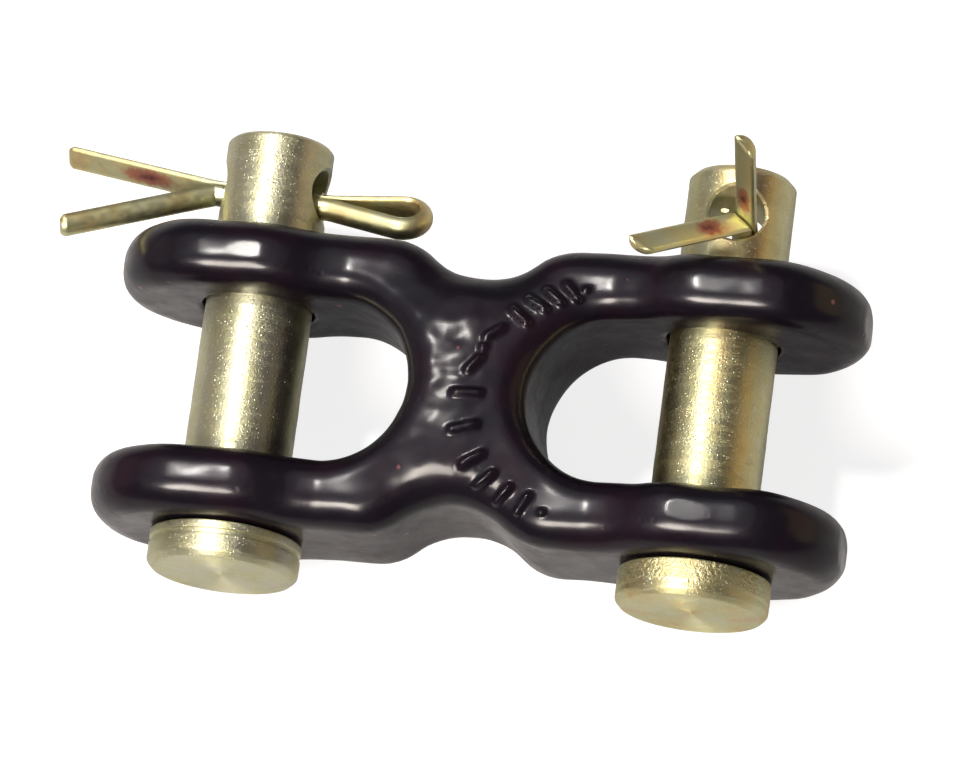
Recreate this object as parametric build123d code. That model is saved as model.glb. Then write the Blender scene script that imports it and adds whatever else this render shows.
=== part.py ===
from build123d import *
import os
from math import acos, cos, degrees, radians, sin, sqrt

# Twin clevis link for joining two chains, or a chain and an eye. A forged H-shaped body has
# a clevis at each end. A headed clevis pin closes each clevis, and a split cotter pin through
# the pin's cross hole keeps it there.
#
# Millimetres. The link lies flat: +X along it from the left pin to the right one, +Y along
# the pins from head to tip, +Z up. The origin is the middle of the left clevis, on its pin's axis.

# Forged body
pin_spacing = 69.85  # between the two pin axes
throat_gap = 24.5  # clear distance between the two ears of a clevis
ear_thickness = 10.25  # along the pin
ear_radius = 15.6  # of the rounded ear end, seen along the pin
left_ear_reach = 20.4  # from the left pin axis to the flat ear tip
right_ear_reach = 21.1  # from the right pin axis to the flat ear tip
ear_heel = 1.5  # from the pin axis back to where an ear starts to narrow
tip_trim = 0.5  # cut square off the round ear end
web_width = 17.5  # between the two throat bottoms
web_thickness = 26.0  # of the web and the arms, along Z
waist_height = 34.4  # across the web along Y, at its narrowest
waist_radius = 12.0  # of the hollow above and below the web
shoulder_radius = 10.0  # from the hollow out to the flat ear face
neck_radius = 8.0  # where an ear runs into its arm
outer_rim = 4.7  # rounding of the outer edges
throat_rim = 4.0  # rounding of the throat edges

# Clevis pins
pin_diameter = 15.88  # 5/8 inch
bore_clearance = 0.4  # on the radius, pin to ear bore
head_diameter = 22.4
head_thickness = 5.4
head_bevel = 0.9  # round the free face of the head
head_gap = 0.4  # between the head and the ear
tip_projection = 15.6  # of the pin past the far ear
left_tip_chamfer = 0.6
right_tip_chamfer = 1.1
groove_width = 0.9  # turned into the left head only
groove_depth = 0.35
groove_setback = 1.2  # from the head's seating face to the groove
hole_diameter = 8.2  # cross hole for the cotter pin
hole_setback = 7.5  # from the pin's tip to the hole's centre
hole_bevel = 0.6  # countersink depth at the top of the pin's round

# Cotter pins, of half-round wire
wire_radius = 1.9
eye_width = 8.8  # outside, across the eye
eye_reach = 16.4  # of the eye past the pin's surface
eye_neck = 0.8  # from the pin's surface to where the eye opens
crotch_reach = 1.2  # from the pin's surface to where the legs part
blend = 0.03  # by which the balls at the bends stand proud of the wire

# How each cotter pin sits: heading of its legs about the pin's axis (from +X towards +Z),
# tilt of the legs towards the pin's tip, turn about its own length, the share of its play in
# the hole by which it lies off centre, the direction of that (from the plane of its spread),
# and for each leg its length, its spread and its sideways lean.
left_cotter = dict(
    heading=180.0,
    tilt=3.5,
    turn=-140.0,
    seat_share=0.46,
    seat_angle=-39.7,
    legs=((24.3, 35.0, 0.0), (24.5, -10.0, 0.0)),
)
right_cotter = dict(
    heading=84.0,
    tilt=0.0,
    turn=142.0,
    seat_share=0.92,
    seat_angle=76.4,
    legs=((22.0, 50.0, -14.0), (20.0, -12.0, -10.5)),
)

# Worked out from the above
pin_radius = pin_diameter / 2
bore_radius = pin_radius + bore_clearance
throat_radius = throat_gap / 2
ear_face = throat_radius + ear_thickness  # outer face of an ear, along Y
head_seat = -(ear_face + head_gap)
pin_tip = ear_face + tip_projection
hole_centre = pin_tip - hole_setback
hole_radius = hole_diameter / 2
centre_x = pin_spacing / 2  # middle of the link
ear_reaches = ((-1, left_ear_reach), (1, right_ear_reach))
body_reach = centre_x + max(left_ear_reach, right_ear_reach)


def body_profile():
    # The H seen from above: a bar with a hollow each side of the web and a throat each end.
    profile = Rectangle(2 * body_reach + 4 * tip_trim, 2 * ear_face)
    for side in (1, -1):
        hollow = Pos(0, side * (waist_height / 2 + waist_radius)) * Circle(waist_radius)
        profile -= hollow
    corners = [v for v in profile.vertices() if abs(v.X) < waist_radius + 0.01]
    profile = fillet(corners, shoulder_radius)
    for side in (1, -1):
        bottom = side * (web_width / 2 + throat_radius)
        profile -= Pos(bottom, 0) * Circle(throat_radius)
        profile -= Pos(bottom + side * body_reach / 2, 0) * Rectangle(body_reach, throat_gap)
    return profile


def body_plan():
    # The link seen along the pins: a rounded ear at each end of a straight bar.
    heel = centre_x - ear_heel
    plan = Rectangle(2 * heel, web_thickness)
    for side, reach in ear_reaches:
        nose = centre_x + reach + tip_trim - ear_radius
        ear = SlotOverall(nose - heel + 2 * ear_radius, 2 * ear_radius)
        plan += Pos(side * (nose + heel) / 2, 0) * ear
    necks = [v for v in plan.vertices() if abs(abs(v.Y) - web_thickness / 2) < 0.01]
    return fillet(necks, neck_radius)


def runs_along(edge, axis):
    # True for a straight edge parallel to the axis, a seam that needs no rounding.
    return edge.geom_type == GeomType.LINE and abs((edge % 0.5).dot(axis.direction)) > 0.999


def on_rim(edge):
    # True for any other edge: those round the faces seen from above and the ear faces.
    return not (runs_along(edge, Axis.Z) or runs_along(edge, Axis.Y))


def in_throat(edge):
    middle = edge @ 0.5
    return abs(middle.Y) < throat_radius + 0.01 and abs(middle.X) > web_width / 2 - 0.01


def link_body():
    deep = web_thickness + 2 * ear_radius
    seen_above = extrude(body_profile(), deep / 2, both=True)
    seen_along = extrude(Plane.XZ * body_plan(), 2 * ear_face, both=True)
    body = seen_above & seen_along
    body = body.solid()
    wall = 0.47 * ear_thickness  # the most that an ear can be rounded from each side
    outer = [e for e in body.edges() if on_rim(e) and not in_throat(e)]
    body = fillet(outer, min(outer_rim, wall))
    inner = [e for e in body.edges() if on_rim(e) and in_throat(e)]
    body = fillet(inner, min(throat_rim, wall))
    bore = Rot(90, 0, 0) * Cylinder(bore_radius, 4 * ear_face)
    for side, reach in ear_reaches:
        beyond = Pos(side * (centre_x + reach + deep / 2), 0, 0) * Box(deep, 4 * ear_face, 2 * deep)
        body -= beyond
        body -= Pos(side * centre_x, 0, 0) * bore
    return body


def clevis_pin(tip_chamfer, heading, grooved):
    # Built along +Z, then turned so that its tip points along +Y.
    shank = Pos(0, 0, (head_seat + pin_tip) / 2) * Cylinder(pin_radius, pin_tip - head_seat)
    shank = chamfer(shank.edges().sort_by(Axis.Z)[-1], tip_chamfer)
    head = Pos(0, 0, head_seat - head_thickness / 2) * Cylinder(head_diameter / 2, head_thickness)
    head = chamfer(head.edges().sort_by(Axis.Z)[0], head_bevel)
    pin = shank + head
    if grooved:
        core = Cylinder(head_diameter / 2 - groove_depth, groove_width)
        ring = Cylinder(head_diameter, groove_width) - core
        pin -= Pos(0, 0, head_seat - groove_setback - groove_width / 2) * ring
    pin = Rot(-90, 0, 0) * pin
    hole = Cylinder(hole_radius, 4 * pin_radius)
    for side in (0, 180):
        flare = Cone(hole_radius, hole_radius + 2 * hole_bevel, 2 * hole_bevel)
        hole += Rot(side, 0, 0) * Pos(0, 0, pin_radius) * flare
    return pin - Pos(0, hole_centre, 0) * Rot(0, 90 - heading, 0) * hole


def wire_section(plane):
    # Half a disc: its flat on the plane's origin, its round side towards the plane's x.
    half = Pos(wire_radius, 0) * Rectangle(2 * wire_radius, 2 * wire_radius)
    return plane * (Circle(wire_radius) & half)


def cotter_leg(start, length, spread, lean):
    # Legs part in the local XY plane by spread and lean out of it, towards +Z.
    s, t = radians(spread), radians(lean)
    along = Vector(cos(s) * cos(t), sin(s) * cos(t), sin(t))
    across = Vector(-cos(s) * sin(t), -sin(s) * sin(t), cos(t))
    outward = across.cross(along) * (1 if spread > 0 else -1)
    return extrude(wire_section(Plane(origin=start, x_dir=outward, z_dir=along)), length)


def cotter_eye(base):
    # A teardrop: two straight sides from the base, tangent to the round end.
    inner = eye_width / 2 - wire_radius
    middle = eye_width / 2 - (pin_radius + eye_reach)
    run = base - middle
    side = sqrt(run**2 - inner**2)
    spread = acos(side / run)
    pieces = []
    for up in (1, -1):
        along = Vector(-cos(spread), up * sin(spread), 0)
        outward = Vector(sin(spread), up * cos(spread), 0)
        start = Plane(origin=(base, 0, 0), x_dir=outward, z_dir=along)
        pieces.append(extrude(wire_section(start), side))
    touch = Plane(
        origin=(middle + inner * sin(spread), inner * cos(spread), 0),
        x_dir=(sin(spread), cos(spread), 0),
        z_dir=(-cos(spread), sin(spread), 0),
    )
    pivot = Axis((middle, 0, 0), (0, 0, 1))
    return pieces[0] + pieces[1] + revolve(wire_section(touch), pivot, 180 + 2 * degrees(spread))


def cotter_pin(heading, tilt, turn, seat_share, seat_angle, legs):
    # Local frame: +X towards the legs, which part in the XY plane; hole centre at the origin.
    crotch = pin_radius + crotch_reach
    base = -(pin_radius + eye_neck)
    rod = Pos((crotch + base) / 2, 0, 0) * Rot(0, 90, 0) * Cylinder(wire_radius, crotch - base)
    pin = rod + cotter_eye(base)
    for end in (crotch, base):  # a ball at each bend, its poles on the rod's axis
        pin += Pos(end, 0, 0) * Rot(0, 90, 0) * Sphere(wire_radius + blend)
    for length, spread, lean in legs:
        pin += cotter_leg((crotch, 0, 0), length, spread, lean)
    off = seat_share * (hole_radius - wire_radius - blend)
    pin = Pos(0, off * cos(radians(seat_angle)), off * sin(radians(seat_angle))) * pin
    return Pos(0, hole_centre, 0) * Rot(0, -heading, 0) * Rot(0, 0, tilt) * Rot(turn, 0, 0) * pin


def main():
    right = Pos(pin_spacing, 0, 0)
    nodes = {
        "link_body": Pos(centre_x, 0, 0) * link_body(),
        "left_clevis_pin": clevis_pin(left_tip_chamfer, left_cotter["heading"], True),
        "right_clevis_pin": right * clevis_pin(right_tip_chamfer, right_cotter["heading"], False),
        "left_cotter_pin": cotter_pin(**left_cotter),
        "right_cotter_pin": right * cotter_pin(**right_cotter),
    }
    os.makedirs("parts", exist_ok=True)
    for name, shape in nodes.items():
        shape.label = name
        export_step(shape, f"parts/{name}.step")


main()
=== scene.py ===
import math

import bmesh
import bpy
import numpy as np
from mathutils import Matrix, Vector


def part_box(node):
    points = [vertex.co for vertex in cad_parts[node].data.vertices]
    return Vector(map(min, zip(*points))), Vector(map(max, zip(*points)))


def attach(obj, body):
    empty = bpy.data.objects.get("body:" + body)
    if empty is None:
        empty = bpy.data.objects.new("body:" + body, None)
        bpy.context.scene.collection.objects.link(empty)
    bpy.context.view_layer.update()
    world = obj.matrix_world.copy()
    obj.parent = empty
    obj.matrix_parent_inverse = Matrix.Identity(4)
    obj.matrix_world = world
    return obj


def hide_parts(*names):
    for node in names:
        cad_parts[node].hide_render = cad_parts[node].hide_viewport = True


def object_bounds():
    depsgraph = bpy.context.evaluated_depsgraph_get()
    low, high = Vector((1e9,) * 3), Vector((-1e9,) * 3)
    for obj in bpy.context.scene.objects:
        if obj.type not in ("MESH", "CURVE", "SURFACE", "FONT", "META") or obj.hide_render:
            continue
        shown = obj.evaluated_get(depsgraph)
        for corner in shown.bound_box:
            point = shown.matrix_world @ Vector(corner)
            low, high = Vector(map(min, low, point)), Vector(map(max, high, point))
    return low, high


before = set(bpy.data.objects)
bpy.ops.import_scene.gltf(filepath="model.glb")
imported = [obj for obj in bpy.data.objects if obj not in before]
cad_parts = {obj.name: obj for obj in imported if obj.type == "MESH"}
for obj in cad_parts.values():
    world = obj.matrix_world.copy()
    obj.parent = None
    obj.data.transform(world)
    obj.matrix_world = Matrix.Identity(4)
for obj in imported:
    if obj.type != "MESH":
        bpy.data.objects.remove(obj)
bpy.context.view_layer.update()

# Twin clevis link: a forged, painted H-shaped body, two plated clevis pins and two plated
# split pins. Lengths in the dictionaries are millimetres; the mesh builders turn them into metres.
mm = 0.001

leftLow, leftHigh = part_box("left_clevis_pin")
rightLow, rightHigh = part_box("right_clevis_pin")
linkLow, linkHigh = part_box("link_body")
leftAxisX = (leftLow.x + leftHigh.x) / 2 / mm  # the pins run along Y at these places
rightAxisX = (rightLow.x + rightHigh.x) / 2 / mm
webX = (leftAxisX + rightAxisX) / 2
earFace = linkHigh.y / mm  # outer face of an ear


# numbers and noise, worked out as whole arrays
def unit(v):
    # each row divided by its own length
    return v / np.maximum(np.linalg.norm(v, axis=-1, keepdims=True), 1e-12)


def smoothStep(t):
    # 3t^2 - 2t^3 between 0 and 1
    t = np.clip(t, 0, 1)
    return t * t * (3 - 2 * t)


def hump(x, middle, width):
    # a bell: e to the minus ((x - middle) / width) squared
    return np.exp(-(((x - middle) / width) ** 2))


def waves(p, wavelength, seed, count=28):
    # smooth noise: the mean of cosines along random directions, each near one wavelength,
    # scaled to a spread of about 1
    rng = np.random.default_rng(seed)
    k = unit(rng.normal(size=(count, 3))) * (2 * np.pi / wavelength)
    k *= rng.uniform(0.6, 1.5, (count, 1))
    return np.cos(p @ k.T + rng.uniform(0, 2 * np.pi, count)).sum(1) * math.sqrt(2 / count)


def gridFaces(rows, columns):
    # quads of a grid whose columns run round and meet, counted row by row
    r, c = np.arange(rows - 1)[:, None], np.arange(columns)[None, :]
    a, b = r * columns + c, r * columns + (c + 1) % columns
    return np.stack([a, b, b + columns, a + columns], -1).reshape(-1, 4)


def endFan(ring, centre, flip):
    # triangles from a closed ring of vertices to one vertex in its middle
    a, b = ring, np.roll(ring, -1)
    fan = np.stack([a, b, np.full(len(ring), centre)], -1)
    return fan[:, ::-1] if flip else fan


def faceOut(mesh):
    # turns every face of a closed mesh outward
    shell = bmesh.new()
    shell.from_mesh(mesh)
    bmesh.ops.recalc_face_normals(shell, faces=shell.faces)
    shell.to_mesh(mesh)
    shell.free()


def tubeMesh(name, rings, attributes=None):
    # closed skin over a stack of rings (rows, columns, 3), each end closed by a fan;
    # attributes are one number for each ring vertex
    rows, columns = rings.shape[:2]
    ends = np.array([rings[0].mean(0), rings[-1].mean(0)])
    points = np.vstack([rings.reshape(-1, 3), ends]) * mm
    count = rows * columns
    faces = gridFaces(rows, columns).tolist()
    faces += endFan(np.arange(columns), count, True).tolist()
    faces += endFan(np.arange(count - columns, count), count + 1, False).tolist()
    mesh = bpy.data.meshes.new(name)
    mesh.from_pydata(points.tolist(), [], faces)
    for key, values in (attributes or {}).items():
        whole = np.concatenate([values.ravel(), [values[0].mean(), values[-1].mean()]])
        mesh.attributes.new(key, "FLOAT", "POINT").data.foreach_set("value", whole.astype(np.float32))
    faceOut(mesh)
    return mesh


def readPoints(mesh):
    # vertex places in millimetres
    flat = np.empty(len(mesh.vertices) * 3, np.float32)
    mesh.vertices.foreach_get("co", flat)
    return flat.reshape(-1, 3).astype(float) / mm


def readNormals(mesh):
    flat = np.empty(len(mesh.vertices) * 3, np.float32)
    mesh.vertex_normals.foreach_get("vector", flat)
    return flat.reshape(-1, 3).astype(float)


def writePoints(mesh, points):
    mesh.vertices.foreach_set("co", (points * mm).astype(np.float32).ravel())
    mesh.update()


def neighbourMean(mesh):
    # a function that gives each vertex the mean of the vertices that share an edge with it
    flat = np.empty(len(mesh.edges) * 2, np.int32)
    mesh.edges.foreach_get("vertices", flat)
    a, b = flat.reshape(-1, 2).T
    count = np.bincount(np.r_[a, b], minlength=len(mesh.vertices)).astype(float)

    def mean(values):
        columns = [np.bincount(np.r_[a, b], np.r_[v[b], v[a]], len(count)) / count for v in values.T]
        return np.stack(columns, -1)

    return mean


def withModifier(mesh, name, kind, **settings):
    # a new mesh: this one with a modifier applied
    obj = bpy.data.objects.new(name, mesh)
    bpy.context.scene.collection.objects.link(obj)
    modifier = obj.modifiers.new(name, kind)
    for key, value in settings.items():
        setattr(modifier, key, value)
    evaluated = obj.evaluated_get(bpy.context.evaluated_depsgraph_get())
    result = bpy.data.meshes.new_from_object(evaluated)
    bpy.data.objects.remove(obj)
    result.name = name
    return result


def finishPiece(name, mesh, material, body, slot, *nodes, sharpAngle=None):
    # puts a finished mesh on its body, in place of the frame's own nodes
    mesh.shade_smooth()
    if sharpAngle is not None:
        mesh.set_sharp_from_angle(angle=math.radians(sharpAngle))
    mesh.materials.clear()
    mesh.materials.append(material)
    piece = bpy.data.objects.new(name, mesh)
    bpy.context.scene.collection.objects.link(piece)
    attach(piece, body)
    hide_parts(*nodes)
    print(name, len(mesh.polygons), "faces")


# shader node helpers
def node(tree, kind, **values):
    # a node whose named values are sockets where it has them, and settings where it hasn't
    made = tree.nodes.new(kind)
    for key, value in values.items():
        if key in made.inputs:
            made.inputs[key].default_value = value
        else:
            setattr(made, key, value)
    return made


def link(tree, source, target):
    tree.links.new(source, target)


def noiseNode(tree, vector, scale, detail=3.0, roughness=0.55):
    n = node(tree, "ShaderNodeTexNoise", Scale=scale, Detail=detail, Roughness=roughness)
    link(tree, vector, n.inputs["Vector"])
    return n.outputs["Fac"]


def mapRange(tree, value, low, high, toLow=0.0, toHigh=1.0):
    n = node(tree, "ShaderNodeMapRange", interpolation_type="SMOOTHSTEP")
    for index, number in enumerate((low, high, toLow, toHigh), 1):
        n.inputs[index].default_value = number
    link(tree, value, n.inputs[0])
    return n.outputs[0]


def maths(tree, operation, a, b):
    n = node(tree, "ShaderNodeMath", operation=operation)
    for index, value in enumerate((a, b)):
        if isinstance(value, (int, float)):
            n.inputs[index].default_value = value
        else:
            link(tree, value, n.inputs[index])
    return n.outputs[0]


def mixColour(tree, factor, a, b, blend="MIX"):
    n = node(tree, "ShaderNodeMix", data_type="RGBA", blend_type=blend)
    for index, value in ((0, factor), (6, a), (7, b)):
        if isinstance(value, bpy.types.NodeSocket):
            link(tree, value, n.inputs[index])
        else:
            n.inputs[index].default_value = value if index == 0 else (*value, 1)
    return n.outputs[2]


def stretched(tree, vector, scale):
    n = node(tree, "ShaderNodeMapping")
    n.inputs["Scale"].default_value = scale
    link(tree, vector, n.inputs["Vector"])
    return n.outputs[0]


def newGroup(name, inputs, outputs):
    # a node group with named sockets, and its input and output nodes
    group = bpy.data.node_groups.new(name, "ShaderNodeTree")
    for key, kind, value in inputs:
        socket = group.interface.new_socket(name=key, in_out="INPUT", socket_type="NodeSocket" + kind)
        if value is not None:
            socket.default_value = value
    for key, kind in outputs:
        group.interface.new_socket(name=key, in_out="OUTPUT", socket_type="NodeSocket" + kind)
    return group, group.nodes.new("NodeGroupInput"), group.nodes.new("NodeGroupOutput")


def place(tree, group, vector, **values):
    n = node(tree, "ShaderNodeGroup", node_tree=group)
    for key, value in values.items():
        n.inputs[key].default_value = value
    link(tree, vector, n.inputs["Vector"])
    return n.outputs


# thin marks: the places where a stretched noise passes through its middle value
def buildScratches():
    group, start, end = newGroup("fine scratches", [("Vector", "Vector", None), ("Scale", "Float", 400.0),
                                 ("Width", "Float", 0.02), ("Share", "Float", 0.5)], [("Mask", "Float")])
    n = node(group, "ShaderNodeTexNoise", Detail=1.0, Roughness=0.4)
    link(group, start.outputs["Vector"], n.inputs["Vector"])
    link(group, start.outputs["Scale"], n.inputs["Scale"])
    offMiddle = maths(group, "ABSOLUTE", maths(group, "SUBTRACT", n.outputs["Fac"], 0.5), 0)
    line = maths(group, "LESS_THAN", offMiddle, start.outputs["Width"])
    patch = node(group, "ShaderNodeTexNoise", Detail=2.0)
    link(group, start.outputs["Vector"], patch.inputs["Vector"])
    link(group, maths(group, "MULTIPLY", start.outputs["Scale"], 0.31), patch.inputs["Scale"])
    chosen = maths(group, "LESS_THAN", patch.outputs["Fac"], start.outputs["Share"])
    link(group, maths(group, "MULTIPLY", line, chosen), end.inputs["Mask"])
    return group


# small round spots: cells of a Voronoi pattern, of which a share is chosen at random
def buildSpots():
    group, start, end = newGroup("small spots", [("Vector", "Vector", None), ("Scale", "Float", 500.0),
                                 ("Size", "Float", 0.25), ("Share", "Float", 0.3)], [("Mask", "Float")])
    cells = node(group, "ShaderNodeTexVoronoi")
    link(group, start.outputs["Vector"], cells.inputs["Vector"])
    link(group, start.outputs["Scale"], cells.inputs["Scale"])
    fromMiddle = maths(group, "DIVIDE", cells.outputs["Distance"], start.outputs["Size"])
    near = maths(group, "SUBTRACT", 1.0, fromMiddle)
    near = maths(group, "MAXIMUM", near, 0.0)
    channels = node(group, "ShaderNodeSeparateColor")
    link(group, cells.outputs["Color"], channels.inputs[0])
    chosen = maths(group, "LESS_THAN", channels.outputs[0], start.outputs["Share"])
    link(group, maths(group, "MULTIPLY", near, chosen), end.inputs["Mask"])
    return group


# colour of a thin yellow plating film: silver-green where thin, through straw and gold to a
# copper pink where it is thick, by broad patches and by streaks
def buildFilm():
    group, start, end = newGroup("plating film", [("Vector", "Vector", None), ("Patches", "Float", 90.0),
                                 ("Shift", "Float", 0.0)], [("Color", "Color")])
    patches = node(group, "ShaderNodeTexNoise", Detail=4.0, Roughness=0.6)
    link(group, start.outputs["Vector"], patches.inputs["Vector"])
    link(group, start.outputs["Patches"], patches.inputs["Scale"])
    thick = maths(group, "ADD", patches.outputs["Fac"], start.outputs["Shift"])
    ramp = node(group, "ShaderNodeValToRGB")
    stops = ((0.0, (0.62, 0.60, 0.53)), (0.30, (0.63, 0.62, 0.46)), (0.48, (0.62, 0.61, 0.35)),
             (0.62, (0.66, 0.56, 0.28)), (0.76, (0.60, 0.42, 0.26)), (1.0, (0.52, 0.33, 0.29)))
    while len(ramp.color_ramp.elements) < len(stops):
        ramp.color_ramp.elements.new(0.5)
    for element, (position, colour) in zip(ramp.color_ramp.elements, stops):
        element.position, element.color = position, (*colour, 1)
    link(group, thick, ramp.inputs[0])
    link(group, ramp.outputs[0], end.inputs["Color"])
    return group


scratches, spots, film = buildScratches(), buildSpots(), buildFilm()
print("node groups built")


def newMaterial(name, **settings):
    # a material with its shader, and the Object coordinates that its patterns read
    material = bpy.data.materials.new(name)
    material.use_nodes = True
    tree = material.node_tree
    shader = tree.nodes["Principled BSDF"]
    for key, value in settings.items():
        shader.inputs[key].default_value = value
    coordinates = node(tree, "ShaderNodeTexCoord").outputs["Object"]
    return material, tree, shader, coordinates


def addBump(tree, shader, *layers):
    # bumps in series: each layer is (height, depth in millimetres)
    normal = None
    for height, depth in layers:
        bump = node(tree, "ShaderNodeBump", Strength=1.0, Distance=depth * mm)
        link(tree, height, bump.inputs["Height"])
        if normal is not None:
            link(tree, normal, bump.inputs["Normal"])
        normal = bump.outputs[0]
    link(tree, normal, shader.inputs["Normal"])


# Object coordinates are metres: a noise of scale 1000 has features about a millimetre across.
# Depths of bumps are millimetres.
paint = {
    "black": (0.004, 0.003, 0.0055),
    "aubergine": (0.008, 0.003, 0.0065),  # where the paint is thin
    "dustAndSheen": (0.010, 0.0085, 0.012),  # paler lilac-grey patches: partly dust, partly a painted sheen
    "dustAndSheenShare": 0.7,
    "nick": (0.16, 0.05, 0.06),  # chips, down to the red-brown steel
    "nickShare": 0.8,
    "specular": 0.11,
    "specularTint": (0.86, 0.82, 1.0, 1.0),
    "coatRoughness": 0.2,
    "coatIor": 1.36,
    "coat": (0.85, 0.5),  # where the paint is black, and where it is thin
    "roughness": (0.30, 0.48),
    "satinRoughness": 0.12,  # how much rougher the web is
    "satinCoat": 0.2,  # how much less coat it has
    "patchScale": 110,
    "dustAndSheenScale": 260,
    "peelScale": 625,  # orange peel
    "gritScale": 2600,
    "nicks": {"Scale": 300.0, "Size": 0.16, "Share": 0.10},
    "pits": {"Scale": 520.0, "Size": 0.3, "Share": 0.10},
    "depths": {"peel": 0.03, "grit": 0.016, "pits": 0.07, "nicks": 0.12},
}


def forgedPaint():
    material, tree, shader, coords = newMaterial("forged black paint", **{
        "Specular IOR Level": paint["specular"],
        "Specular Tint": paint["specularTint"],
        "Coat Roughness": paint["coatRoughness"],
        "Coat IOR": paint["coatIor"],
    })
    satin = node(tree, "ShaderNodeAttribute", attribute_name="satin").outputs["Fac"]
    patches = noiseNode(tree, coords, paint["patchScale"], 4)
    thin = mapRange(tree, patches, 0.42, 0.68)
    tone = mixColour(tree, thin, paint["black"], paint["aubergine"])
    # paler patches where this noise is high: partly dust, partly a painted sheen; the same noise also
    # sets the roughness
    dustAndSheen = noiseNode(tree, coords, paint["dustAndSheenScale"], 5, 0.65)
    dustAndSheenMask = mapRange(tree, dustAndSheen, 0.60, 0.85, 0, paint["dustAndSheenShare"])
    tone = mixColour(tree, dustAndSheenMask, tone, paint["dustAndSheen"])
    nicks = place(tree, spots, coords, **paint["nicks"])["Mask"]
    chipped = mapRange(tree, nicks, 0.1, 0.6, 0, paint["nickShare"])
    tone = mixColour(tree, chipped, tone, paint["nick"])
    link(tree, tone, shader.inputs["Base Color"])
    rough = mapRange(tree, dustAndSheen, 0.35, 0.75, *paint["roughness"])
    rough = maths(tree, "ADD", rough, maths(tree, "MULTIPLY", satin, paint["satinRoughness"]))
    link(tree, rough, shader.inputs["Roughness"])
    coat = mapRange(tree, patches, 0.3, 0.7, *paint["coat"])
    coat = maths(tree, "SUBTRACT", coat, maths(tree, "MULTIPLY", satin, paint["satinCoat"]))
    link(tree, maths(tree, "MAXIMUM", coat, 0.0), shader.inputs["Coat Weight"])
    peel = noiseNode(tree, coords, paint["peelScale"], 2, 0.5)
    grit = noiseNode(tree, coords, paint["gritScale"], 3, 0.6)
    pits = maths(tree, "SUBTRACT", 1.0, place(tree, spots, coords, **paint["pits"])["Mask"])
    depths = paint["depths"]
    addBump(tree, shader, (peel, depths["peel"]), (grit, depths["grit"]), (pits, depths["pits"]),
            (nicks, depths["nicks"]))
    return material


pinPlating = {
    "anisotropy": 0.65,
    "anisotropyTurn": 0.25,  # of a full turn: the gloss spreads along the pin
    "columnStretch": (1.0, 0.06, 1.0),  # columns of colour along the pin
    "ringStretch": (0.10, 1.0, 0.10),  # fine rings round the pin
    "columnPatches": 260.0,
    "plainPatches": 330.0,
    "plainShift": -0.05,
    "plainShare": 0.35,
    "fleck": (0.85, 0.84, 0.72),
    "fleckShare": 0.8,
    "flecks": {"Scale": 2600.0, "Size": 0.4, "Share": 0.28},
    "rings": {"Scale": 3200.0, "Width": 0.05, "Share": 0.5},
    "roughness": (0.42, 0.52),
    "ringRoughness": 0.1,
    "roughScale": 700,
    "grainScale": 2600,
    "pebbleScale": 2400,
    "bandScale": 1900,  # of the pebbled band on a head's side
    "depths": {"grain": 0.02, "pebble": 0.05, "fleck": 0.05, "rings": -0.004, "band": 0.22},
}


def zincPin(name, shift):
    s = pinPlating
    material, tree, shader, coords = newMaterial(name, **{
        "Metallic": 1.0,
        "Anisotropic": s["anisotropy"],
        "Anisotropic Rotation": s["anisotropyTurn"],
    })
    tangent = node(tree, "ShaderNodeTangent", direction_type="RADIAL", axis="Y")
    link(tree, tangent.outputs[0], shader.inputs["Tangent"])
    along = stretched(tree, coords, s["columnStretch"])
    turned = stretched(tree, coords, s["ringStretch"])
    columns = place(tree, film, along, Patches=s["columnPatches"], Shift=shift)["Color"]
    plainShift = shift + s["plainShift"]
    patches = place(tree, film, coords, Patches=s["plainPatches"], Shift=plainShift)["Color"]
    tone = mixColour(tree, s["plainShare"], columns, patches)
    fleck = place(tree, spots, coords, **s["flecks"])["Mask"]
    rings = place(tree, scratches, turned, **s["rings"])["Mask"]
    tone = mixColour(tree, mapRange(tree, fleck, 0.1, 0.7, 0, s["fleckShare"]), tone, s["fleck"])
    link(tree, tone, shader.inputs["Base Color"])
    rough = mapRange(tree, noiseNode(tree, coords, s["roughScale"], 4, 0.6), 0.3, 0.75, *s["roughness"])
    rough = maths(tree, "ADD", rough, maths(tree, "MULTIPLY", rings, s["ringRoughness"]))
    link(tree, rough, shader.inputs["Roughness"])
    grain = noiseNode(tree, turned, s["grainScale"], 3, 0.6)
    pebble = noiseNode(tree, coords, s["pebbleScale"], 2, 0.5)
    pebbled = node(tree, "ShaderNodeAttribute", attribute_name="pebbled").outputs["Fac"]
    band = maths(tree, "MULTIPLY", noiseNode(tree, coords, s["bandScale"], 3, 0.6), pebbled)
    depths = s["depths"]
    addBump(tree, shader, (grain, depths["grain"]), (pebble, depths["pebble"]), (fleck, depths["fleck"]),
            (rings, depths["rings"]), (band, depths["band"]))
    return material


wirePlating = {
    "patches": 150.0,
    "shift": 0.02,
    "roughness": (0.38, 0.5),
    "roughScale": 900,
    "burnScale": 900,
    "burnRagged": 0.25,  # how far a burn's edge is broken up
    "scorch": (0.46, 0.20, 0.13),  # outer part of a burn
    "char": (0.16, 0.05, 0.06),  # its middle
    "lineScale": 2.2,  # drawn lines, across the wire in millimetres
    "lineDepth": 0.02,
    "gritScale": 1800,
    "gritDepth": 0.008,
}


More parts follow.
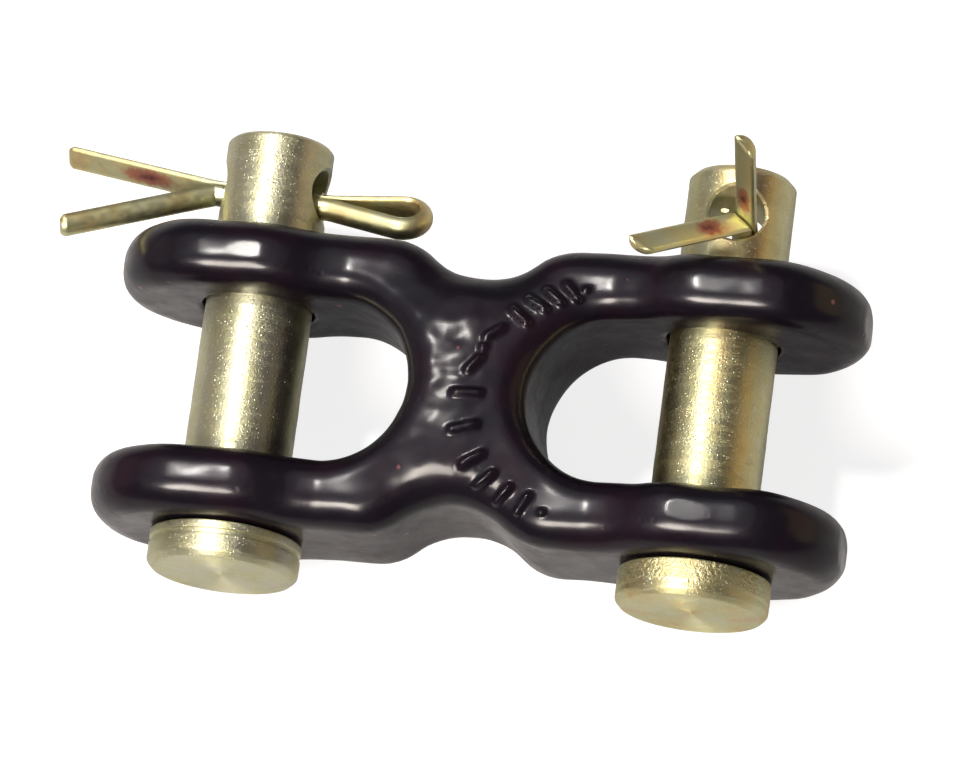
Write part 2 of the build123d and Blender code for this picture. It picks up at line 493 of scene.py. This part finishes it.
def zincWire():
    s = wirePlating
    material, tree, shader, coords = newMaterial("zinc plated wire", Metallic=1.0)
    tone = place(tree, film, coords, Patches=s["patches"], Shift=s["shift"])["Color"]
    burn = node(tree, "ShaderNodeAttribute", attribute_name="burn").outputs["Fac"]
    edge = noiseNode(tree, coords, s["burnScale"], 4, 0.7)
    edge = mapRange(tree, edge, 0.2, 0.8, -s["burnRagged"], s["burnRagged"])
    ragged = maths(tree, "ADD", burn, edge)
    inBurn = mapRange(tree, burn, 0.05, 0.1)
    scorched = maths(tree, "MULTIPLY", inBurn, mapRange(tree, ragged, 0.15, 0.75))
    tone = mixColour(tree, scorched, tone, s["scorch"])
    charred = maths(tree, "MULTIPLY", inBurn, mapRange(tree, ragged, 0.75, 1.3))
    tone = mixColour(tree, charred, tone, s["char"])
    link(tree, tone, shader.inputs["Base Color"])
    rough = noiseNode(tree, coords, s["roughScale"], 4, 0.6)
    link(tree, mapRange(tree, rough, 0.3, 0.75, *s["roughness"]), shader.inputs["Roughness"])
    across = node(tree, "ShaderNodeAttribute", attribute_name="across").outputs["Fac"]
    lines = node(tree, "ShaderNodeTexNoise", noise_dimensions="1D", Scale=s["lineScale"], Detail=2.0)
    link(tree, across, lines.inputs["W"])
    grit = noiseNode(tree, coords, s["gritScale"], 3, 0.6)
    addBump(tree, shader, (lines.outputs["Fac"], s["lineDepth"]), (grit, s["gritDepth"]))
    return material


# the forged body, in millimetres
forging = {
    "voxel": 0.47,
    "smoothing": 14,  # rounds of shrinking a little and swelling back
    "shrinkSwell": (0.55, -0.57),
    "boreRadius": 8.34,
    "boreMargin": 0.35,  # the bore is left alone to this far out
    "webFullness": 1.5,
    "dome": (webX - 4.5, 1),  # where the web stands highest
    "domeWidth": (11, 17),
    "armDip": 0.7,  # how far the arms fall towards the ears
    "edgeSlope": 1.3,  # how far the web falls towards its outer edges
    "waviness": ((14.0, 0.05), (5.0, 0.012)),  # (wavelength, height)
    "webWaviness": ((4.2, 0.04, 7), (2.2, 0.012, 8)),  # (wavelength, height, seed)
    "satin": (webX - 2, 0),  # middle of the duller paint
    "satinWidth": (14, 20),
    "markArcX": 55.93,  # centre of the arc that the raised marks stand on
    "markHeight": 1.0,
    "markWidth": 0.8,
    "markFloor": 8,  # marks stand only above this height
    "markFacing": 0.35,  # and only where the surface faces up at least this much
}
# raised marks on the web: angle about the arc's centre, radius, half length, turn from radial
raisedMarks = (
    (108, 16.3, 0.0, 0), (115, 16.6, 1.5, 20), (124, 17.0, 1.5, 20), (133, 17.4, 1.5, 20),
    (143, 17.6, 1.5, 0), (156, 19.0, 1.3, 60), (164, 19.4, 0.0, 0), (172, 19.8, 1.3, 60),
    (185, 20.2, 1.8, 0), (199, 21.2, 1.8, 0), (212, 21.6, 1.6, 0), (221, 21.6, 1.6, 0),
    (230, 21.0, 1.6, 0), (239, 20.2, 1.6, 0), (248, 19.8, 0.0, 0),
)


def markField(p):
    # share of the marks' height: a rounded bar of its half length about each place,
    # 1 near its line, falling to 0 at its width
    field = np.zeros(len(p))
    for angle, radius, half, turn in raisedMarks:
        a, t = math.radians(angle), math.radians(angle + turn)
        middle = np.array([forging["markArcX"] + radius * math.cos(a), radius * math.sin(a)])
        along = np.array([math.cos(t), math.sin(t)])
        offset = p[:, :2] - middle
        s = np.clip(offset @ along, -half, half)
        away = np.linalg.norm(offset - s[:, None] * along, axis=1)
        field = np.maximum(field, smoothStep(1.15 * (1 - away / forging["markWidth"])))
    return field


def buildForging():
    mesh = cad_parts["link_body"].data.copy()
    mesh = withModifier(mesh, "merged", "WELD", merge_threshold=1e-6)
    mesh = withModifier(mesh, "forging", "REMESH", mode="VOXEL", voxel_size=forging["voxel"] * mm)
    print("forging remeshed", len(mesh.vertices))
    p = readPoints(mesh)
    mean = neighbourMean(mesh)
    fromAxis = np.minimum(np.hypot(p[:, 0] - leftAxisX, p[:, 2]), np.hypot(p[:, 0] - rightAxisX, p[:, 2]))
    bore = fromAxis < forging["boreRadius"] + forging["boreMargin"]
    for _ in range(forging["smoothing"]):
        for step in forging["shrinkSwell"]:
            p = np.where(bore[:, None], p, p + step * (mean(p) - p))
    writePoints(mesh, p)
    n = readNormals(mesh)
    front = np.clip(n[:, 2], 0, 1)
    facing = np.abs(n[:, 2])
    (domeX, domeY), (domeWide, domeHigh) = forging["dome"], forging["domeWidth"]
    dome = hump(p[:, 0], domeX, domeWide) * hump(p[:, 1], domeY, domeHigh)
    fromWeb = np.abs(p[:, 0] - webX)
    # arms: fall with the distance, to the power 1.3, from the web, and come back up before the ears
    dip = np.clip((fromWeb - 3) / 17, 0, 1) ** 1.3 * (1 - smoothStep((fromWeb - 19) / 7))
    # web's outer edges: fall from 9 to 18 mm off its middle line
    slope = smoothStep((np.abs(p[:, 1]) - 9) / 9) * hump(fromWeb, 5, 9)
    lift = forging["webFullness"] * dome - forging["armDip"] * dip - forging["edgeSlope"] * slope
    lift = facing * lift
    mottle = [height * waves(p, wavelength, seed) for wavelength, height, seed in forging["webWaviness"]]
    lift += sum(mottle) * dome * facing
    for seed, (wavelength, height) in enumerate(forging["waviness"]):
        lift += height * waves(p, wavelength, seed)
    clear = smoothStep((fromAxis - forging["boreRadius"] - 0.3) / 1.2)  # the bores stay round
    marks = markField(p) * (front > forging["markFacing"]) * (p[:, 2] > forging["markFloor"])
    lift = lift * clear + forging["markHeight"] * marks
    p += n * lift[:, None]
    p = np.clip(p, np.array(linkLow) / mm, np.array(linkHigh) / mm)  # the CAD body's box is kept
    writePoints(mesh, p)
    (satinX, satinY), (satinWide, satinHigh) = forging["satin"], forging["satinWidth"]
    satin = hump(p[:, 0], satinX, satinWide) * hump(p[:, 1], satinY, satinHigh) * smoothStep(facing * 1.4)
    mesh.attributes.new("satin", "FLOAT", "POINT").data.foreach_set("value", satin.astype(np.float32))
    return mesh


blackPaint, wireZinc = forgedPaint(), zincWire()
finishPiece("forged_body", buildForging(), blackPaint, "link", "forged_body", "link_body")

# the clevis pins, in millimetres; places along Y
pinShape = {
    "radius": 7.94,
    "headRadius": 11.2,
    "seat": -(earFace + 0.4),
    "headThickness": 5.4,
    "tip": earFace + 15.6,
    "holeCentre": earFace + 8.1,
    "holeRadius": 4.1,
    "holeBevel": 0.45,
    "headBevel": 0.9,
    "centre": 0.4,  # radius at which the end faces close
    "rounding": {"face": 0.25, "bevel": 0.35, "groove": 0.08, "rim": 0.3, "root": 0.15, "tip": 0.2},
    "waviness": (5.0, 0.012, 11),  # wavelength, height, seed
    "pebbledReach": 3.6,  # of the pebbled band from the head's seat
    "around": 240,
    "cutterAround": 96,
    "cutterFlare": 1.5,  # of the hole's cutter, past the pin's surface
}
pinPieces = {
    "left": {
        "x": leftAxisX,
        "tipChamfer": 0.6,
        "groove": (0.35, 0.9, 1.2),  # depth, width, distance from the seat
        "holeHeading": 180.0,
        "pebbled": False,
        "film": -0.12,  # thinner plating film: paler
        "node": "left_clevis_pin",
        "body": "left_pin",
    },
    "right": {
        "x": rightAxisX,
        "tipChamfer": 1.1,
        "groove": None,
        "holeHeading": 84.0,
        "pebbled": True,
        "film": 0.03,
        "node": "right_clevis_pin",
        "body": "right_pin",
    },
}


def roundCorner(before, corner, after, radius, steps=6):
    # points of a quadratic bend that leaves each side of the corner at the given distance
    before, corner, after = map(np.array, (before, corner, after))
    a = corner + unit(before - corner) * radius
    b = corner + unit(after - corner) * radius
    t = np.linspace(0, 1, steps)[:, None]
    return a * (1 - t) ** 2 + 2 * corner * t * (1 - t) + b * t**2


def pinProfile(settings):
    # (radius, place along the pin) from the head's middle out, along the shank to the tip's middle
    s, rounding = pinShape, pinShape["rounding"]
    face, rim, seat, tip = s["seat"] - s["headThickness"], s["headRadius"], s["seat"], s["tip"]
    bevel, chamfer = s["headBevel"], settings["tipChamfer"]
    corners = [(s["centre"], face, 0), (rim - bevel, face, rounding["face"])]
    corners += [(rim, face + bevel, rounding["bevel"])]
    if settings["groove"]:
        depth, width, setback = settings["groove"]
        top = seat - setback
        lip = rounding["groove"]
        corners += [(rim, top - width, lip), (rim - depth, top - width + 0.1, lip)]
        corners += [(rim - depth, top - 0.1, lip), (rim, top, lip)]
    corners += [(rim, seat, rounding["rim"]), (s["radius"], seat, rounding["root"])]
    corners += [(s["radius"], tip - chamfer, rounding["tip"])]
    corners += [(s["radius"] - chamfer, tip, rounding["tip"]), (s["centre"], tip, 0)]
    points = [np.array([corners[0][:2]])]
    for before, corner, after in zip(corners, corners[1:], corners[2:]):
        points.append(roundCorner(before[:2], corner[:2], after[:2], corner[2]))
    points.append(np.array([corners[-1][:2]]))
    line = np.vstack(points).astype(float)
    gaps = np.linalg.norm(np.diff(line, axis=0), axis=1)
    filled = []
    for a, b, gap in zip(line, line[1:], gaps):  # points at most 0.5 mm apart
        filled.append(np.linspace(a, b, max(2, int(gap / 0.5) + 1))[:-1])
    return np.vstack([*filled, line[-1:]])


def holeCutter(settings):
    # a round bar through the cross hole that flares where it leaves the pin's surface; at the
    # angle a round the bar that surface is root(R^2 - (r cos a)^2) from the axis, a saddle,
    # and the flare follows it
    s = pinShape
    around, flare = s["cutterAround"], s["cutterFlare"]
    angles = np.linspace(0, 2 * np.pi, around, endpoint=False)[None, :]
    depth = np.array([-s["holeBevel"] - 0.15, -s["holeBevel"], 0.0, flare])  # past the surface
    radius = s["holeRadius"] + np.array([0.0, 0.02, s["holeBevel"], s["holeBevel"] + flare])
    rise, r = depth[:, None], radius[:, None]
    surface = np.sqrt(s["radius"] ** 2 - (np.minimum(r, 6.0) * np.cos(angles)) ** 2)
    end = np.stack([r * np.cos(angles), r * np.sin(angles), surface + rise], -1)
    rings = np.concatenate([end[::-1] * (1, 1, -1), end])
    turn = Matrix.Rotation(math.radians(90 - settings["holeHeading"]), 3, "Y")
    rings = rings @ np.array(turn).T + (settings["x"], s["holeCentre"], 0)
    return tubeMesh("cutter", rings)


def buildPin(settings):
    s = pinShape
    profile = pinProfile(settings)
    angles = np.linspace(0, 2 * np.pi, s["around"], endpoint=False)
    r, y = profile[:, :1], profile[:, 1:]
    rings = np.stack([r * np.cos(angles), y + 0 * angles, -r * np.sin(angles)], -1)
    flat = rings.reshape(-1, 3)
    onSide = (np.abs(np.gradient(profile[:, 0])) < 1e-3).repeat(s["around"])
    out = unit(flat * (1, 0, 1))
    wavelength, height, seed = s["waviness"]
    lift = height * waves(flat, wavelength, seed) * onSide
    # a pebbled band on the right head's side, next to its seat
    fromSeat = s["seat"] - flat[:, 1]
    band = settings["pebbled"] * smoothStep((s["pebbledReach"] - fromSeat) / 0.3) * (fromSeat > 0.1)
    band = (band * (np.hypot(flat[:, 0], flat[:, 2]) > s["radius"] + 1)).reshape(rings.shape[:2])
    flat = flat + out * lift[:, None] + (settings["x"], 0, 0)
    mesh = tubeMesh(settings["node"], flat.reshape(rings.shape), {"pebbled": band})
    cutter = bpy.data.objects.new("cutter", holeCutter(settings))
    bpy.context.scene.collection.objects.link(cutter)
    mesh = withModifier(mesh, settings["node"], "BOOLEAN", operation="DIFFERENCE", solver="EXACT",
                        object=cutter)
    bpy.data.objects.remove(cutter)
    return mesh


for side, settings in pinPieces.items():
    finishPiece(side + "_pin", buildPin(settings), zincPin(side + " pin plating", settings["film"]),
                settings["body"], "plated_pin", settings["node"], sharpAngle=32)

# the split cotter pins, of half-round wire, in millimetres
wire = {
    "radius": 1.9,
    "gap": 0.04,  # half the space between the two flats
    "eyeWidth": 8.8,
    "eyeReach": 16.4,
    "eyeNeck": 0.8,
    "crotchReach": 1.2,
    "edge": 0.28,  # rounding of the wire's two edges
    "bevel": 0.5,  # along the wire, of its cut ends
    "bevelShare": 0.3,  # by which the section shrinks at a cut end
    "slantLength": 4.0,  # over which a slanted cut is drawn back
    "bend": 0.5,  # how far the bends are spread along the wire
    "step": 0.3,
    "arcStep": 0.2,  # round the eye
    "seatPlay": 0.03,  # left between wire and hole
    "burnPeak": 1.2,
    "burnWidth": 1.6,  # across the wire, squared
}
# legs: length, spread and lean in degrees; burns: distance from the crotch, length, side;
# slants: of the cut ends in degrees
cotterPieces = {
    "left": {
        "x": leftAxisX,
        "heading": 180.0,
        "tilt": 3.5,
        "turn": -140.0,
        "seatShare": 0.46,
        "seatAngle": -39.7,
        "legs": ((24.3, 35.0, 0.0), (24.5, -10.0, 0.0)),
        "burns": (None, (11.0, 4.2, 0.0)),
        "slants": (0, 0),
        "body": "left_cotter",
        "node": "left_cotter_pin",
    },
    "right": {
        "x": rightAxisX,
        "heading": 84.0,
        "tilt": 0.0,
        "turn": 142.0,
        "seatShare": 0.92,
        "seatAngle": 76.4,
        "legs": ((22.0, 50.0, -14.0), (20.0, -12.0, -10.5)),
        "burns": ((7.0, 2.4, 0.0), (5.2, 2.8, 0.0)),
        "slants": (30, 30),
        "body": "right_cotter",
        "node": "right_cotter_pin",
    },
}


def turnAbout(axis, degrees):
    return np.array(Matrix.Rotation(math.radians(degrees), 3, axis))


def legFrame(spread, lean):
    # direction of a leg, and the way its round side faces
    s, t = math.radians(spread), math.radians(lean)
    along = np.array([math.cos(s) * math.cos(t), math.sin(s) * math.cos(t), math.sin(t)])
    across = np.array([-math.cos(s) * math.sin(t), -math.sin(s) * math.sin(t), math.cos(t)])
    return along, np.cross(across, along) * (1 if spread > 0 else -1)


def wirePath(legs):
    # straight runs and the eye's arc, from one leg's tip round the eye to the other's:
    # place, the way the round side faces, and the distance from the crotch, which counts up
    # from 0 on the first leg and down from 0 on the second, and is -1 on the shank and the eye
    s, pinRadius = wire, pinShape["radius"]
    crotch, base = pinRadius + s["crotchReach"], -(pinRadius + s["eyeNeck"])
    inner = s["eyeWidth"] / 2 - s["radius"]
    middle = s["eyeWidth"] / 2 - (pinRadius + s["eyeReach"])
    run = base - middle
    lean = math.acos(math.sqrt(run**2 - inner**2) / run)
    places, outs, tips = [], [], []
    noLeg = (-1.0, -1.0)

    def addRun(a, b, out, fromTip):
        count = max(2, round(np.linalg.norm(np.subtract(b, a)) / s["step"]))
        t = np.linspace(0, 1, count, endpoint=False)[:, None]
        places.append(np.array(a) * (1 - t) + np.array(b) * t)
        outs.append(np.tile(out, (count, 1)))
        from1, from2 = fromTip
        tips.append(from1 * (1 - t[:, 0]) + from2 * t[:, 0])

    (lengthA, spreadA, leanA), (lengthB, spreadB, leanB) = legs
    alongA, outA = legFrame(spreadA, leanA)
    alongB, outB = legFrame(spreadB, leanB)
    gap = np.array([0, s["gap"], 0])
    top, foot = np.array([crotch, 0, 0]), np.array([base, 0, 0])
    touch = np.array([middle + inner * math.sin(lean), inner * math.cos(lean), 0])
    addRun(top + gap + alongA * lengthA, top + gap, outA, (lengthA, 0))
    addRun(top + gap, foot + gap, (0, 1, 0), noLeg)
    addRun(foot + gap, touch, (math.sin(lean), math.cos(lean), 0), noLeg)
    sweep = np.pi + 2 * lean
    count = max(8, round(sweep * inner / s["arcStep"]))
    angles = np.pi / 2 - lean + np.linspace(0, sweep, count, endpoint=False)
    outward = np.stack([np.cos(angles), np.sin(angles), 0 * angles], -1)
    places.append(np.array([middle, 0, 0]) + inner * outward)
    outs.append(outward)
    tips.append(np.full(count, -1.0))
    addRun(touch * (1, -1, 1), foot - gap, (math.sin(lean), -math.cos(lean), 0), noLeg)
    addRun(foot - gap, top - gap, (0, -1, 0), noLeg)
    addRun(top - gap, top - gap + alongB * lengthB, outB, (0, -lengthB))
    places.append((top - gap + alongB * lengthB)[None, :])
    outs.append(np.array([outB]))
    tips.append(np.array([-lengthB]))
    return np.vstack(places), np.vstack(outs), np.concatenate(tips)


def blurAlong(values, spacing, width):
    # each point becomes a bell-weighted mean along the path; the ends stay
    station = np.concatenate([[0], np.cumsum(spacing)])
    weights = np.exp(-(((station[:, None] - station[None, :]) / width) ** 2))
    weights *= np.gradient(station)[None, :]
    blurred = weights @ values / weights.sum(1, keepdims=True)
    keep = smoothStep(np.minimum(station, station[-1] - station) / (3 * width))[:, None]
    return values * (1 - keep) + blurred * keep


def wireSection():
    # half a disc with rounded edges: (out of the flat, across the flat), going round
    s, edge = wire["radius"], wire["edge"]
    turn = np.linspace(-np.pi / 2, np.pi / 2, 22)
    arc = np.stack([s * np.cos(turn), s * np.sin(turn)], -1)
    arc[:, 0] = np.maximum(arc[:, 0], edge)
    low, high = arc[arc[:, 1] < 0], arc[arc[:, 1] > 0]
    flat = np.stack([np.zeros(9), np.linspace(s - 1.1 * edge, -(s - 1.1 * edge), 9)], -1)
    return np.vstack([low, high, flat])


def buildCotter(settings):
    s = wire
    places, outs, tips = wirePath(settings["legs"])
    spacing = np.linalg.norm(np.diff(places, axis=0), axis=1)
    places = blurAlong(places, spacing, s["bend"])
    outs = blurAlong(outs, spacing, s["bend"])
    along = unit(np.gradient(places, axis=0))
    outs = unit(outs - (outs * along).sum(1, keepdims=True) * along)
    across = np.cross(along, outs)
    section = wireSection()
    # the cut ends are bevelled: the section shrinks about its own middle over the last stretch
    fromEnd = np.minimum(np.r_[0, np.cumsum(spacing)], np.r_[np.cumsum(spacing[::-1])[::-1], 0])
    size = 1 - s["bevelShare"] * (1 - fromEnd / s["bevel"]).clip(0)[:, None, None]
    middle = np.array([0.42 * s["radius"], 0])
    cut = middle + size * (section[None] - middle)
    rings = places[:, None] + outs[:, None] * cut[:, :, :1] + across[:, None] * cut[:, :, 1:]
    # the shears cut the legs aslant: one edge keeps its length, the other is drawn back
    for legSign, slant in zip((1, -1), settings["slants"]):
        fromTip = np.abs(tips * legSign - np.max(tips * legSign))
        pull = np.where(tips * legSign > 0, smoothStep(1 - fromTip / s["slantLength"]), 0)[:, None]
        back = math.tan(math.radians(abs(slant))) * (s["radius"] - math.copysign(1, slant) * cut[:, :, 1])
        rings = rings + (pull * back)[:, :, None] * along[:, None] * legSign
    # burns: an oval spot on each leg's flat, by distance from the crotch
    burn = np.zeros(rings.shape[:2])
    for legSign, spot in zip((1, -1), settings["burns"]):
        if spot:
            far, length, side = spot
            onLeg = (tips * legSign > 0)[:, None] * (section[None, :, 0] < 0.05)
            oval = ((tips * legSign)[:, None] - far) ** 2 / length**2
            oval = oval + (section[None, :, 1] - side) ** 2 / s["burnWidth"]
            burn = np.maximum(burn, onLeg * s["burnPeak"] * np.exp(-oval))
    off = settings["seatShare"] * (pinShape["holeRadius"] - s["radius"] - s["seatPlay"])
    angle = math.radians(settings["seatAngle"])
    rings = rings + (0, off * math.cos(angle), off * math.sin(angle))
    turn = turnAbout("Y", -settings["heading"]) @ turnAbout("Z", settings["tilt"])
    turn = turn @ turnAbout("X", settings["turn"])
    rings = rings @ turn.T + (settings["x"], pinShape["holeCentre"], 0)
    acrossField = np.tile(section[None, :, 1], (len(rings), 1))
    return tubeMesh(settings["node"], rings, {"burn": burn, "across": acrossField})


for side, settings in cotterPieces.items():
    finishPiece(side + "_cotter_wire", buildCotter(settings), wireZinc, settings["body"], "plated_wire",
                settings["node"], sharpAngle=50)

# the camera: degrees, and its aim in millimetres
view = {
    "azimuth": 35.18,
    "elevation": 70.36,
    "roll": -29.2,
    "distance": 1.05,
    "lens": 268.3,
    "aim": (34.54, 3.88, -0.28),
}


def addCamera():
    a, e, roll = (math.radians(view[key]) for key in ("azimuth", "elevation", "roll"))
    back = Vector((math.sin(a) * math.cos(e), -math.cos(a) * math.cos(e), math.sin(e)))
    right = Vector((math.cos(a), math.sin(a), 0))
    up = back.cross(right)
    right, up = math.cos(roll) * right + math.sin(roll) * up, math.cos(roll) * up - math.sin(roll) * right
    camera = bpy.data.objects.new("camera", bpy.data.cameras.new("camera"))
    bpy.context.scene.collection.objects.link(camera)
    camera.data.lens = view["lens"]
    camera.data.clip_start = 0.02
    turn = Matrix((right, up, back)).transposed().to_4x4()
    camera.matrix_world = Matrix.Translation(Vector(view["aim"]) * mm + back * view["distance"]) @ turn
    bpy.context.scene.camera = camera


# floor, world and lights
studio = {
    "floorColour": (0.30, 0.30, 0.31),
    "floorForGloss": 0.13,  # the floor's own glow
    "floorForEye": 0.68,  # and more of it to the eye, so that its shadows stay pale
    "floorSize": 1.6,
    "roomForGloss": (0.09, 0.08, 0.095),
    "roomForEye": (0.93, 0.93, 0.94),
}
# direction from the object, distance and size in metres, watts, colour
lights = {
    "key": ((-0.23, 0.28, 0.93), 0.9, (0.07, 0.05), 4.0, (1.0, 0.96, 0.90)),
    "second": ((-0.22, -0.50, 0.83), 0.9, (0.34, 0.26), 10.5, (1.0, 0.91, 0.80)),
    "overhead": ((-0.30, 0.1, 0.95), 1.0, (2.0, 1.6), 3.7, (0.99, 0.98, 1.0)),
    "warmSide": ((0.95, 0.27, 0.22), 0.55, (0.6, 0.26), 0.28, (1.0, 0.72, 0.34)),
    "leftCard": ((-0.95, 0.10, 0.30), 0.7, (0.7, 0.3), 0.20, (1.0, 0.82, 0.74)),
}


def addLights():
    middle = Vector(((leftAxisX + rightAxisX) / 2, 0, 0)) * mm
    for name, (direction, distance, size, watts, colour) in lights.items():
        lamp = bpy.data.lights.new(name, "AREA")
        lamp.shape = "ELLIPSE"
        lamp.size, lamp.size_y = size
        lamp.energy, lamp.color = watts, colour
        obj = bpy.data.objects.new(name, lamp)
        bpy.context.scene.collection.objects.link(obj)
        toward = Vector(direction).normalized()
        turn = toward.to_track_quat("Z", "Y").to_matrix().to_4x4()
        obj.matrix_world = Matrix.Translation(middle + toward * distance) @ turn


def addFloor():
    low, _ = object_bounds()
    half = studio["floorSize"]
    corners = [(-half, -half, low.z), (half, -half, low.z), (half, half, low.z), (-half, half, low.z)]
    mesh = bpy.data.meshes.new("floor")
    mesh.from_pydata(corners, [], [(0, 1, 2, 3)])
    material, tree, shader, _ = newMaterial("pale floor", Roughness=0.6)
    shader.inputs["Base Color"].default_value = (*studio["floorColour"], 1)
    shader.inputs["Emission Color"].default_value = (1, 1, 1, 1)
    path = node(tree, "ShaderNodeLightPath").outputs["Is Camera Ray"]
    forEye = maths(tree, "MULTIPLY", path, studio["floorForEye"])
    glow = maths(tree, "ADD", forEye, studio["floorForGloss"])
    link(tree, glow, shader.inputs["Emission Strength"])
    mesh.materials.append(material)
    floor = bpy.data.objects.new("floor", mesh)
    bpy.context.scene.collection.objects.link(floor)


def addWorld():
    # the room is pale to the eye and darker in the gloss
    world = bpy.data.worlds.new("studio")
    world.use_nodes = True
    bpy.context.scene.world = world
    tree = world.node_tree
    background = tree.nodes["Background"]
    path = node(tree, "ShaderNodeLightPath")
    tone = mixColour(tree, path.outputs["Is Camera Ray"], studio["roomForGloss"], studio["roomForEye"])
    link(tree, tone, background.inputs["Color"])


addCamera()
addLights()
addFloor()
addWorld()
bpy.context.scene.view_settings.view_transform = "Standard"
print("camera, lights and floor placed")
